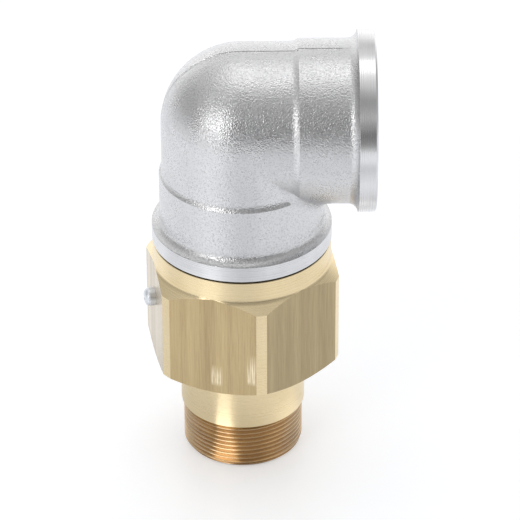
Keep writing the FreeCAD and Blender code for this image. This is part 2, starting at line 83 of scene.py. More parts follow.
def add_node(
    tree: Tree, kind: str, inputs: dict[str, Any] | tuple[Any, ...] = (), **settings: Any
) -> Socket | None:
    """Add a node with its settings, and give its inputs values or links.

    Args:
        tree: The node tree that gets the node.
        kind: The node's type name.
        inputs: A value or an output socket for each input, by name or in their order.
        settings: The node's own properties.

    Returns:
        The first output in use, through which the node can be had, or None.
    """
    node = tree.nodes.new(kind)
    for name, value in settings.items():
        setattr(node, name, value)
    for key, value in inputs.items() if isinstance(inputs, dict) else enumerate(inputs):
        if isinstance(value, Socket):
            tree.links.new(value, node.inputs[key])
        else:
            node.inputs[key].default_value = value
    return next((output for output in node.outputs if output.enabled), None)


# Finishes


@dataclass(frozen=True)
class Finish:
    """What every finish has: the real material's name, its colours and its gloss.

    The shade is the second colour in its pattern, and uneven is how far the roughness
    goes either side of its middle. The film is the thin clear oil that a machined piece
    keeps: how much of it there is, its roughness and its IOR.
    """

    title: str
    colour: str
    roughness: float
    metallic: float = 1.0
    shade: str = "#808080"
    uneven: float = 0.05
    film: float = 0.0
    film_roughness: float = 0.12
    film_ior: float = 1.8

    def material(self) -> bpy.types.Material:
        """Make the node material, or find it where it is made already.

        Returns:
            The material.
        """
        found = bpy.data.materials.get(self.title)
        if found:
            return found
        material = bpy.data.materials.new(self.title)
        material.use_nodes = True
        tree = material.node_tree
        shader = tree.nodes["Principled BSDF"]
        for socket, value in (
            ("Base Color", linear(self.colour)), ("Metallic", self.metallic),
            ("Roughness", self.roughness), ("Coat Weight", self.film),
            ("Coat Roughness", self.film_roughness), ("Coat IOR", self.film_ior),
        ):
            shader.inputs[socket].default_value = value
        self.dress(tree, shader, add_node(tree, "ShaderNodeTexCoord").node.outputs["Object"])
        return material

    def dress(self, tree: Tree, shader: Node, place: Socket) -> None:
        """Link the finish's patterns into its shader.

        Args:
            tree: The material's node tree.
            shader: Its Principled shader.
            place: The object coordinates, in metres.
        """
        raise NotImplementedError

    def lay(
        self,
        tree: Tree,
        shader: Node,
        layers: list[tuple[Socket, str]],
        gloss: Socket,
        normal: Socket,
    ) -> None:
        """Lay colours over the finish's own, and link colour, gloss and normal.

        Args:
            tree: The material's node tree.
            shader: Its Principled shader.
            layers: Each colour to lay, after the pattern of where it lies.
            gloss: The pattern that makes the surface duller as it grows.
            normal: The normal, with its bumps.
        """
        tone: Any = linear(self.colour)
        for share, colour in layers:
            tone = add_node(
                tree, MIX, {"Factor": share, "A": tone, "B": linear(colour)}, data_type="RGBA"
            )
        dull = add_node(
            tree,
            RANGE,
            (gloss, 0.3, 0.7, self.roughness - self.uneven, self.roughness + self.uneven),
        )
        for name, value in (("Base Color", tone), ("Roughness", dull), ("Normal", normal)):
            tree.links.new(value, shader.inputs[name])


@dataclass(frozen=True)
class BlastedCasting(Finish):
    """Cast, shot-blasted and nickel-plated: a fine dull grain that sparkles.

    In millimetres: width and depth of the grain and of the mottling, and how far apart
    and how wide the pits are. The dents that shot leaves are about 0.2 mm wide, too fine
    to show, so the grain is drawn coarser.
    """

    shade: str = "#9A9A99"
    uneven: float = 0.04
    grain: float = 0.45  # Coarser than the real one, so that it shows
    grain_depth: float = 0.16
    mottle: float = 7.14
    mottle_depth: float = 0.2
    pit_gap: float = 5.0
    pit_radius: float = 0.2
    # Painted shade: the dark colour of the pits' hollows
    pit_shade_colour: str = "#2A2A2A"

    def dress(self, tree: Tree, shader: Node, place: Socket) -> None:
        """Link grain, mottling and casting pits into the shader.

        Args:
            tree: The material's node tree.
            shader: Its Principled shader.
            place: The object coordinates, in metres.
        """
        grain, mottle = (
            add_node(tree, NOISE, {"Vector": place, "Scale": 1 / (width * MM), "Detail": detail})
            for width, detail in ((self.grain, 1.0), (self.mottle, 3.0))
        )
        speck = add_node(tree, RANGE, (grain, 0.5, 0.7, 0.0, 0.4))
        away = add_node(
            tree, "ShaderNodeTexVoronoi", {"Vector": place, "Scale": 1 / (self.pit_gap * MM)}
        )
        reach = self.pit_radius / self.pit_gap
        # Pits: spots painted dark as shade, for hollows that the mesh doesn't have
        pit = add_node(tree, RANGE, (away, reach, reach * 0.6))
        blasted = add_node(
            tree, BUMP, {"Height": grain, "Strength": 1.0, "Distance": self.grain_depth * MM}
        )
        normal = add_node(
            tree,
            BUMP,
            {
                "Height": mottle,
                "Strength": 0.3,
                "Distance": self.mottle_depth * MM,
                "Normal": blasted,
            },
        )
        self.lay(tree, shader, [(speck, self.shade), (pit, self.pit_shade_colour)], mottle, normal)


@dataclass(frozen=True)
class Turned(Finish):
    """Turned on a lathe: fine tool lines that run round the piece, with a soft sheen.

    In millimetres: spacing and depth of the lines, and width of the patches where they
    show more. A finishing cut leaves lines about 0.1 mm apart, too fine to show, so they
    are drawn farther apart. The axis is the one that the piece was turned round.
    """

    shade: str = "#B09A62"
    line: float = 0.3  # Coarser than the real one, so that it shows
    depth: float = 0.03
    patch: float = 11.1
    streak: float = 0.35
    axis: tuple[float, float, float] = (0.0, 0.0, 1.0)
    stretch: float = 0.8

    def dress(self, tree: Tree, shader: Node, place: Socket) -> None:
        """Link the tool lines, which follow the tool's path, into the shader.

        Args:
            tree: The material's node tree.
            shader: Its Principled shader.
            place: The object coordinates, in metres.
        """
        feed = add_node(tree, "ShaderNodeAttribute", attribute_name="feed").node.outputs["Fac"]
        lines = add_node(
            tree,
            NOISE,
            {"W": feed, "Scale": 1 / self.line, "Detail": 2.0, "Roughness": 0.7},
            noise_dimensions="1D",
        )
        patch = add_node(
            tree, NOISE, {"Vector": place, "Scale": 1 / (self.patch * MM), "Detail": 2.0}
        )
        share = add_node(tree, MATH, (lines, patch), operation="MULTIPLY")
        mark = add_node(tree, RANGE, (share, 0.2, 0.4, 0.0, self.streak))
        normal = add_node(
            tree, BUMP, {"Height": lines, "Strength": 0.5, "Distance": self.depth * MM}
        )
        self.lay(tree, shader, [(mark, self.shade)], lines, normal)
        axis = add_node(tree, "ShaderNodeCombineXYZ", dict(zip("XYZ", self.axis)))
        tree.links.new(axis, shader.inputs["Tangent"])
        shader.inputs["Anisotropic"].default_value = self.stretch


@dataclass(frozen=True)
class Milled(Finish):
    """Milled along the swivel's axis: straight cutter lines and broad dull bands.

    In millimetres: width of the lines and of the bands, and depth of the lines. A cutter
    leaves lines finer than 0.1 mm, too fine to show, so they are drawn coarser. Along the
    axis the pattern changes more slowly, by the share that run gives. Each stroke is a
    painted glint, a pale patch of painted highlight on some of the cutter's lines: its
    middle across the flat, its half width, its foot and its head. Across is the flat's
    own direction.
    """

    shade: str = "#B39B6D"
    uneven: float = 0.06
    film: float = 1.0
    film_roughness: float = 0.25
    film_ior: float = 1.6
    line: float = 0.3  # Coarser than the real one, so that it shows
    band: float = 3.0
    depth: float = 0.05
    run: float = 0.025
    # Colour of the painted highlights
    glint: str = "#F4E4C0"
    across: tuple[float, float, float] = (0.9432, -0.3322, 0.0)
    strokes: tuple[tuple[float, float, float, float], ...] = ()

    def dress(self, tree: Tree, shader: Node, place: Socket) -> None:
        """Link the cutter's lines, bands and strokes into the shader.

        Args:
            tree: The material's node tree.
            shader: Its Principled shader.
            Link the cutter's lines, its bands and the painted highlights of the glints into the
            shader.
        """
        flow = add_node(
            tree, "ShaderNodeMapping", {"Vector": place, "Scale": (1.0, 1.0, self.run)}
        )
        lines, bands = (
            add_node(
                tree,
                NOISE,
                {
                    "Vector": flow,
                    "Scale": 1 / (width * MM),
                    "Detail": detail,
                    "Roughness": fineness,
                },
            )
            for width, detail, fineness in ((self.line, 3.0, 0.65), (self.band, 2.0, 0.5))
        )
        both = add_node(tree, MIX, {"Factor": 0.4, "A": lines, "B": bands}, data_type="FLOAT")
        mark = add_node(tree, RANGE, (both, 0.36, 0.64, 0.0, 0.8))
        layers = [(mark, self.shade)]
        if self.strokes:
            # Painted highlights: pale glints on some of the cutter's lines
            layers.append((self.paint_glints(tree, place, lines), self.glint))
        normal = add_node(
            tree, BUMP, {"Height": lines, "Strength": 0.5, "Distance": self.depth * MM}
        )
        self.lay(tree, shader, layers, bands, normal)

    def paint_glints(self, tree: Tree, place: Socket, lines: Socket) -> Socket:
        """Make the pattern of the painted glints: painted highlights that make some lines bright.

        Args:
            tree: The material's node tree.
            place: The object coordinates, in metres.
            lines: The cutter's lines.

        Returns:
            How much painted highlight the place gets, from 0 to 1.
        """
        aside = add_node(tree, VECTOR_MATH, (place, self.across), operation="DOT_PRODUCT")
        height = add_node(tree, "ShaderNodeSeparateXYZ", {"Vector": place}).node.outputs["Z"]
        bright: Any = 0.0
        for middle, half, low, high in self.strokes:
            off = aside
            for operation, step in (("SUBTRACT", middle * MM), ("ABSOLUTE", 0.0)):
                off = add_node(tree, MATH, (off, step), operation=operation)
            stroke: Any = 1.0
            for value, none, full in (
                (off, half, half * 0.6), (height, low, low + 1.5),
                (height, high, (high + low) / 2),
            ):
                share = add_node(tree, RANGE, (value, none * MM, full * MM))
                stroke = add_node(tree, MATH, (stroke, share), operation="MULTIPLY")
            bright = add_node(tree, MATH, (bright, stroke), operation="MAXIMUM")
        thin = add_node(tree, RANGE, (lines, 0.42, 0.56))
        return add_node(tree, MATH, (bright, thin), operation="MULTIPLY")


@dataclass(frozen=True)
class Fine(Finish):
    """Any small inner piece: its colour, with a fine grain in gloss and height.

    In millimetres: width and depth of the grain. Ground, moulded and drawn surfaces are
    finer than 0.1 mm, too fine to show, so their grain is drawn coarser.
    """

    uneven: float = 0.02
    grain: float = 0.4  # Coarser than the real one, so that it shows
    depth: float = 0.01

    def dress(self, tree: Tree, shader: Node, place: Socket) -> None:
        """Link one fine grain into colour, gloss and height.

        Args:
            tree: The material's node tree.
            shader: Its Principled shader.
            place: The object coordinates, in metres.
        """
        grain = add_node(
            tree, NOISE, {"Vector": place, "Scale": 1 / (self.grain * MM), "Detail": 2.0}
        )
        normal = add_node(
            tree, BUMP, {"Height": grain, "Strength": 0.4, "Distance": self.depth * MM}
        )
        self.lay(tree, shader, [(grain, self.shade)], grain, normal)


# Cast in sand, blasted with shot, then plated: pale grey, and dull until light catches
# its grain, with a pit here and there painted dark as the shade in its hollow
CAST_NICKEL = BlastedCasting("Shot-blasted nickel-plated casting", "#DCDCDD", 0.28)
# Faced on a lathe, then plated: the brightest grey, with bands of light that run round
TURNED_NICKEL = Turned(
    "Turned nickel-plated face", "#E2E2E3", 0.24, shade="#B4B4B6", streak=0.5
)
# The same face and thread, turned round the hose port's axis
TURNED_NICKEL_PORT = Turned(
    "Turned nickel-plated port face",
    "#E2E2E3",
    0.24,
    shade="#B4B4B6",
    streak=0.5,
    axis=(1.0, 0.0, 0.0),
)
# Milled and oiled: olive gold with upright lines under a waxy bloom, and painted
# highlights, pale glints on the lines, at the foot of one flat
MILLED_BRASS = Milled(
    "Milled brass",
    "#C4AD7D",
    0.38,
    shade="#A68D5E",
    strokes=((1.1, 2.0, 35.6, 43.4), (12.3, 1.9, 38.0, 49.5)),
)
# Two opposite flats, a little rougher and painted greyer as shade: softer in the light
ROUGHER_SHADED_MILLED_BRASS = Milled("Milled brass, rougher, painted shade", "#BEAA7D", 0.42, shade="#A28C60")
# Bright from the lathe: pale yellow, nearly white where it faces the light
TURNED_BRASS = Turned("Turned brass", "#F3DFB5", 0.26, shade="#DCC798", depth=0.012)
# Oiled screw-cut brass: a copy of the brass painted deep orange brown as the shade in its
# grooves, with sharp lights on the crests from the oil film
THREAD_BRASS = Turned(
    "Screw-cut brass, oiled", "#CBAA7C", 0.22, shade="#72522C", film=1.0
)
# Zinc under a clear coat: near white, with hardly a shadow of its own
ZINC_STEEL = Fine("Bright zinc-plated steel", "#F2F4F7", 0.45, shade="#E2E6EB")
# Plain turned steel that doesn't rust: grey with a warm tinge
STAINLESS = Fine("Turned stainless steel", "#D0CFCD", 0.3, shade="#B2B1AF")
# Hardened and ground: the glossiest metal here, almost a mirror
BEARING_STEEL = Fine("Ground bearing steel", "#D6D7D8", 0.16, shade="#C2C4C6")
# Dipped in phosphate and oil: dark grey and matt
SPRING_STEEL = Fine("Phosphated spring steel", "#55565A", 0.5, shade="#3C3D40")
# Moulded rubber: black with a faint bloom
SEAL_RUBBER = Fine("Nitrile rubber", "#1B1B1C", 0.55, 0.0, shade="#242425")
# Skived from solid bar: milky white
PTFE = Fine("White PTFE", "#EFEDE8", 0.45, 0.0, shade="#E2E0DA")
# Moulded without a dye: the colour of cream, slightly glossy
NYLON = Fine("Natural nylon", "#DDD3B4", 0.45, 0.0, shade="#CFC4A2")


# Meshes


@dataclass
class Outline:
    """A lathe outline: corners of (radius, height), each with a fillet radius or 0."""

    corners: list[tuple[float, float, float]] = field(default_factory=list)

    def add(self, radius: float, height: float, fillet: float = 0.0) -> None:
        """Add one corner."""
        self.corners.append((radius, height, fillet))

    def points(self, step: float = 9.0) -> list[tuple[float, float]]:
        """Follow the outline, with each fillet as a run of short chords.

        Args:
            step: The greatest turn from one chord to the next, in degrees.

        Returns:
            The points of (radius, height).
        """
        found = []
        for number, (radius, height, fillet) in enumerate(self.corners):
            here = Vector((radius, height))
            if fillet == 0.0:
                found.append(here)
                continue
            into = (Vector(self.corners[number - 1][:2]) - here).normalized()
            onward = (Vector(self.corners[number + 1][:2]) - here).normalized()
            half = into.angle(onward) / 2
            middle = here + (into + onward).normalized() * (fillet / math.sin(half))
            start = here + into * (fillet / math.tan(half)) - middle
            end = here + onward * (fillet / math.tan(half)) - middle
            sweep = math.pi - 2 * half
            turn = math.copysign(sweep, start.cross(end))
            count = max(2, math.ceil(math.degrees(sweep) / step))
            for part in range(count + 1):
                bent = Matrix.Rotation(turn * part / count, 2) @ start
                found.append(middle + bent)
        return [(point.x, point.y) for point in found]


def closed_skin(
    name: str,
    loops: list[list[Vector]],
    feeds: list[float],
    finish_of: Callable[[int, int], int],
    finishes: list[Finish],
) -> bpy.types.Object:
    """Skin a closed ring of loops with quads, merging what falls together.

    Args:
        name: The piece's name.
        loops: Closed loops of points in millimetres, all of one count.
        feeds: How far along its path the tool is at each loop, in millimetres.
        finish_of: The finish number of the face after a loop number and a point number.
        finishes: The finishes, in the order of their numbers.

    Returns:
        The piece, linked to the scene.
    """
    mesh = bpy.data.meshes.new(name)
    work = bmesh.new()
    feed_layer = work.verts.layers.float.new("feed")
    rows = []
    for loop, feed in zip(loops, feeds):
        row = [work.verts.new(point * MM) for point in loop]
        for vert in row:
            vert[feed_layer] = feed
        rows.append(row)
    for number, row in enumerate(rows):
        above = rows[(number + 1) % len(rows)]
        for place in range(len(row)):
            aside = (place + 1) % len(row)
            face = work.faces.new((row[place], row[aside], above[aside], above[place]))
            face.material_index = finish_of(number, place)
            face.smooth = True
    bmesh.ops.remove_doubles(work, verts=work.verts, dist=SAME_PLACE)
    bmesh.ops.recalc_face_normals(work, faces=work.faces)
    work.to_mesh(mesh)
    work.free()
    for finish in finishes:
        mesh.materials.append(finish.material())
    mesh.set_sharp_from_angle(angle=CREASE)
    piece = bpy.data.objects.new(name, mesh)
    bpy.context.scene.collection.objects.link(piece)
    return piece


# Threads

ROWS_A_PITCH = 8
WALL_ROWS = 3
FLAT = 0.125  # Share of the pitch that is flat at the crest, and at the root
THREAD_CREASE = math.radians(25)


@dataclass(frozen=True)
class Thread:
    """One screw thread, cut on a sleeve that stands on the XY plane round Z.

    The crest, root and wall are radii, and the wall is the sleeve's plain side. The lead
    is the height of the cone at the foot. The thread starts at a share of a turn, and
    around is how many columns of faces go round it.
    """

    crest: float
    root: float
    wall: float
    pitch: float
    length: float
    lead: float
    start: float
    around: int = 180

    def tree(self) -> Tree:
        """Make the Geometry Nodes tree that cuts any such thread, or find it.

        A grid is rolled round Z along the helix: its rows rise by one pitch a turn, and
        those past either end are held there. Its first two rows and its last are the
        sleeve's plain wall.

        Returns:
            The tree, with its sizes as named inputs, in metres and turns.
        """
        found = bpy.data.node_groups.get("Screw thread")
        if found:
            return found
        tree = bpy.data.node_groups.new("Screw thread", "GeometryNodeTree")
        radii = ("Crest Radius", "Root Radius", "Wall Radius")
        for kind, names in (
            ("NodeSocketFloat", (*radii, "Pitch", "Length", "Lead", "Start")),
            ("NodeSocketInt", ("Around", "Rows")), ("NodeSocketMaterial", ("Material",)),
        ):
            for name in names:
                tree.interface.new_socket(name=name, in_out="INPUT", socket_type=kind)
        tree.interface.new_socket(
            name="Geometry", in_out="OUTPUT", socket_type="NodeSocketGeometry"
        )
        given = add_node(tree, "NodeGroupInput").node.outputs
        columns, last = (
            add_node(tree, MATH, (given[name], 1.0), operation=operation)
            for name, operation in (("Around", "ADD"), ("Rows", "SUBTRACT"))
        )
        shape = add_node(
            tree,
            "GeometryNodeMeshGrid",
            {"Size X": 1.0, "Size Y": 1.0, "Vertices X": columns, "Vertices Y": given["Rows"]},
        )
        spot = add_node(tree, "GeometryNodeInputPosition")
        spot = add_node(tree, "ShaderNodeSeparateXYZ", {"Vector": spot}).node.outputs
        turn, row = (add_node(tree, MATH, (spot[way], 0.5), operation="ADD") for way in "XY")
        for operation, step in (("MULTIPLY", last), ("ROUND", 0.0)):
            row = add_node(tree, MATH, (row, step), operation=operation)

        # Height: the rows start a turn below the foot, and are held within the length
        height = row
        for operation, step in (
            ("SUBTRACT", ROWS_A_PITCH + WALL_ROWS - 0.5), ("DIVIDE", float(ROWS_A_PITCH)),
            ("SUBTRACT", given["Start"]), ("ADD", turn), ("MULTIPLY", given["Pitch"]),
            ("MAXIMUM", 0.0), ("MINIMUM", given["Length"]),
        ):
            height = add_node(tree, MATH, (height, step), operation=operation)

        # Depth: how far from the nearest crest, in pitches, then as a share of the flank
        away = height
        for operation, step in (
            ("DIVIDE", given["Pitch"]), ("SUBTRACT", turn), ("ADD", given["Start"]), ("ADD", 0.5),
            ("FLOORED_MODULO", 1.0), ("SUBTRACT", 0.5), ("ABSOLUTE", 0.0),
        ):
            away = add_node(tree, MATH, (away, step), operation=operation)
        flank = add_node(tree, RANGE, (away, FLAT / 2, 0.5 - FLAT / 2))

        # The lead cone at the foot goes deeper than the thread
        depth = add_node(
            tree, MATH, (given["Root Radius"], given["Crest Radius"]), operation="SUBTRACT"
        )
        deep = add_node(tree, MATH, (depth,), operation="ABSOLUTE")
        radius = given["Lead"]
        for operation, step in (
            ("SUBTRACT", height), ("DIVIDE", deep), ("MAXIMUM", flank), ("MULTIPLY", depth),
            ("ADD", given["Crest Radius"]),
        ):
            radius = add_node(tree, MATH, (radius, step), operation=operation)

        # The sleeve's wall
        top = add_node(tree, MATH, (last, 0.5), operation="SUBTRACT")
        first, foot, top = (
            add_node(tree, MATH, (row, edge), operation=operation)
            for operation, edge in (("LESS_THAN", 0.5), ("LESS_THAN", 1.5), ("GREATER_THAN", top))
        )
        wall = add_node(tree, MATH, (foot, top), operation="MAXIMUM")
        radius, height = (
            add_node(tree, MIX, {"Factor": share, "A": cut, "B": plain}, data_type="FLOAT")
            for share, cut, plain in (
                (wall, radius, given["Wall Radius"]), (first, height, given["Length"]),
            )
        )

        angle = add_node(tree, MATH, (turn, 2 * math.pi), operation="MULTIPLY")
        sides = {"Z": height}
        for way, operation in (("X", "COSINE"), ("Y", "SINE")):
            side = add_node(tree, MATH, (angle,), operation=operation)
            sides[way] = add_node(tree, MATH, (side, radius), operation="MULTIPLY")
        rolled = add_node(tree, "ShaderNodeCombineXYZ", sides)
        feed = height
        for operation, step in (("ADD", radius), ("DIVIDE", MM)):
            feed = add_node(tree, MATH, (feed, step), operation=operation)
        for kind, inputs in (
            ("GeometryNodeStoreNamedAttribute", {"Name": "feed", "Value": feed}),
            ("GeometryNodeSetPosition", {"Position": rolled}),
            ("GeometryNodeMergeByDistance", {"Distance": SAME_PLACE}),
            ("GeometryNodeRealizeInstances", {}),
            ("GeometryNodeSetMaterial", {"Material": given["Material"]}),
        ):
            shape = add_node(tree, kind, {"Geometry": shape, **inputs})
        add_node(tree, "NodeGroupOutput", {"Geometry": shape})
        return tree

    def cut(self, name: str, finish: Finish, place: Matrix) -> bpy.types.Object:
        """Cut the thread, and put it in place as a plain mesh.

        Args:
            name: The piece's name.
            finish: Its finish.
            place: Where the sleeve's foot and axis go, in metres.

        Returns:
            The piece, linked to the scene.
        """
        blank = bpy.data.objects.new(name, bpy.data.meshes.new(name))
        bpy.context.scene.collection.objects.link(blank)
        modifier = blank.modifiers.new("thread", "NODES")
        modifier.node_group = self.tree()
        # Besides the length's own rows, a turn and a row at either end, and the wall's
        rows = math.ceil(ROWS_A_PITCH * self.length / self.pitch)
        rows += 2 * (ROWS_A_PITCH + 1) + WALL_ROWS
        values = {
            "Crest Radius": self.crest * MM,
            "Root Radius": self.root * MM,
            "Wall Radius": self.wall * MM,
            "Pitch": self.pitch * MM,
            "Length": self.length * MM,
            "Lead": self.lead * MM,
            "Start": self.start,
            "Around": self.around,
            "Rows": rows,
            "Material": finish.material(),
        }
        for item in modifier.node_group.interface.items_tree:
            if item.in_out == "INPUT":
                modifier[item.identifier] = values[item.name]
        graph = bpy.context.evaluated_depsgraph_get()
        mesh = bpy.data.meshes.new_from_object(blank.evaluated_get(graph), depsgraph=graph)
        blank.modifiers.remove(modifier)
        work = bmesh.new()
        work.from_mesh(mesh)
        bmesh.ops.remove_doubles(work, verts=work.verts, dist=SAME_PLACE)
        work.transform(place)
        bmesh.ops.recalc_face_normals(work, faces=work.faces)
        for face in work.faces:
            face.smooth = True
        work.to_mesh(mesh)
        work.free()
        mesh.set_sharp_from_angle(angle=THREAD_CREASE)
        blank.data = mesh
        return blank


# Casing


@dataclass
class Casing:
    """Brass casing: screw-cut foot, turned neck, milled hexagon and turned collar.

    The face is how far a flat stands from the axis, and hex_round the radius of the bar
    that the hexagon is milled from. Low and high edge are where the bar's full width
    starts and ends. The chambers are the bore's corners of (radius, height) below the
    mouth: seats of seals and bearings, grooves, and the water way.
    """

    thread: Thread = Thread(18.0, 17.05, 16.6, 1.5, 14.9, 1.4, 0.35)
    neck_foot: float = 15.6
    neck_radius: float = 18.7
    neck_fillet: float = 0.3
    hex_foot: float = 33.3
    low_edge: float = 35.1
    high_edge: float = 63.2
    face: float = 26.75
    hex_round: float = 30.0
    hex_turn: float = 10.6
    collar_foot: float = 65.9
    collar_radius: float = 26.6
    cove: float = 2.0
    top: float = 72.55
    top_edge: float = 0.15
    mouth_radius: float = 24.0
    chambers: tuple[tuple[float, float], ...] = (
        (24.0, 67.5), (23.5, 67.5), (23.5, 66.2), (24.7, 66.2), (24.7, 64.4), (23.5, 64.4),
        (23.5, 44.4), (21.0, 44.4), (21.0, 41.8), (16.95, 41.8), (16.95, 41.4), (18.7, 41.4),
        (18.7, 40.05), (16.95, 40.05), (16.95, 39.45), (19.2, 39.45), (19.2, 36.0),
        (16.95, 36.0), (16.95, 34.8), (14.0, 34.8), (14.0, 0.0),
    )
    nipple_hole: float = 2.55
    nipple_height: float = 54.4
    drill_middle: float = 25.0
    drill_length: float = 8.0
    drill_sides: int = 48
    drill_twist: float = 2.1
    flat_columns: int = 16
    corner_columns: int = 20
    cone_steps: int = 10

    def outside(self) -> list[tuple[float, float]]:
        """The outside, upwards, with the hexagon as the round bar it is milled from.

        Returns:
            The points of (radius, height).
        """
        lower = Outline()
        lower.add(self.thread.wall, 0.0)
        lower.add(self.thread.wall, self.thread.length)
        lower.add(self.thread.crest, self.thread.length)
        lower.add(self.neck_radius, self.neck_foot)
        lower.add(self.neck_radius, self.hex_foot, self.neck_fillet)
        lower.add(self.face, self.hex_foot)
        found = lower.points()
        spread = math.acos(self.face / self.hex_round)
        steps = [
            self.face / math.cos(spread * part / self.cone_steps)
            for part in range(self.cone_steps + 1)
        ]
        rise = (self.low_edge - self.hex_foot) / (self.hex_round - self.face)
        found += [(r, self.hex_foot + (r - self.face) * rise) for r in steps[1:]]
        fall = (self.collar_foot - self.high_edge) / (self.hex_round - self.collar_radius)
        upper = Outline()
        upper.add(self.hex_round, self.high_edge)
        upper.add(self.collar_radius, self.collar_foot, self.cove)
        upper.add(self.collar_radius, self.top - self.top_edge)
        upper.add(self.collar_radius - self.top_edge, self.top)
        arc = upper.points(5.0)
        cone = [(r, self.high_edge + (self.hex_round - r) * fall) for r in reversed(steps)]
        found += [point for point in cone if point[0] > arc[1][0]]
        return found + arc[1:]

    def loop(self, radius: float, height: float, milled: bool) -> list[Vector]:
        """One loop round the casing, flattened six times where the bar is milled.

        Args:
            radius: The loop's radius before milling.
            height: Its height.
            milled: Whether the cutter reaches it.

        Returns:
            The points, each flat's before its corner's.
        """
        spread = math.acos(min(1.0, self.face / radius)) if milled else 0.0
        points = []
        for side in range(6):
            middle = math.radians(self.hex_turn + 60 * side)
            spots = []
            for number in range(self.flat_columns):
                angle = spread * (2 * number / self.flat_columns - 1)
                reach = self.face / math.cos(angle) if spread else radius
                spots.append((reach, middle + angle))
            for number in range(self.corner_columns):
                angle = spread + (math.pi / 3 - 2 * spread) * number / self.corner_columns
                spots.append((radius, middle + angle))
            points += [
                Vector((reach * math.cos(way), reach * math.sin(way), height))
                for reach, way in spots
            ]
        return points

    def drill(self, casing: bpy.types.Object) -> None:
        """Drill the grease nipple's hole through its flat.

        Args:
            casing: The casing's shell, which gets the hole.
        """
        work = bmesh.new()
        bmesh.ops.create_cone(
            work,
            cap_ends=True,
            segments=self.drill_sides,
            radius1=self.nipple_hole * MM,
            radius2=self.nipple_hole * MM,
            depth=self.drill_length * MM,
        )
        # Turned a little about its own axis, so that no corner falls on the flat's edges
        work.transform(Matrix.Rotation(math.radians(self.drill_twist), 4, "Z"))
        work.transform(Matrix.Rotation(math.pi / 2, 4, "Y"))
        work.transform(
            Matrix.Translation((-self.drill_middle * MM, 0.0, self.nipple_height * MM))
        )
        work.transform(Matrix.Rotation(math.radians(self.hex_turn), 4, "Z"))
        mesh = bpy.data.meshes.new("nipple_drill")
        work.to_mesh(mesh)
        work.free()
        drill = bpy.data.objects.new("nipple_drill", mesh)
        bpy.context.scene.collection.objects.link(drill)
        modifier = casing.modifiers.new("nipple_hole", "BOOLEAN")
        modifier.object = drill
        graph = bpy.context.evaluated_depsgraph_get()
        drilled = bpy.data.meshes.new_from_object(casing.evaluated_get(graph), depsgraph=graph)
        casing.modifiers.remove(modifier)
        bpy.data.objects.remove(drill)
        drilled.set_sharp_from_angle(angle=CREASE)
        casing.data = drilled

    def build(self) -> list[bpy.types.Object]:
        """Build the casing and its male thread.

        Returns:
            The pieces.
        """
        outside = self.outside()
        path = [*outside, (self.mouth_radius, self.top), *self.chambers]
        loops = []
        feeds = []
        travelled = 0.0
        for number, (radius, height) in enumerate(path):
            if number:
                travelled += math.dist(path[number - 1], (radius, height))
            loops.append(self.loop(radius, height, number < len(outside)))
            feeds.append(travelled)
        sector = self.flat_columns + self.corner_columns

        def finish_of(row: int, place: int) -> int:
            """Turned all over but for the flats, of which two are rougher and painted darker as
            shade.
            """
            if row >= len(outside) - 1 or place % sector >= self.flat_columns:
                return 0
            # Flats 2 and 5 get the copy of the milled brass painted darker as shade
            return 2 if place // sector in (2, 5) else 1

        finishes = [TURNED_BRASS, MILLED_BRASS, ROUGHER_SHADED_MILLED_BRASS]
        casing = closed_skin("casing_shell", loops, feeds, finish_of, finishes)
        self.drill(casing)
        thread = self.thread.cut("casing_male_thread", THREAD_BRASS, Matrix.Identity(4))
        for piece in (casing, thread):
            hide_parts("casing")
            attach(piece, "casing_body")
        return [casing, thread]


# Elbow


class Leg(Enum):
    """The elbow's two legs, alike but for what they hold."""

    LOWER = "lower"
    HOSE = "hose"


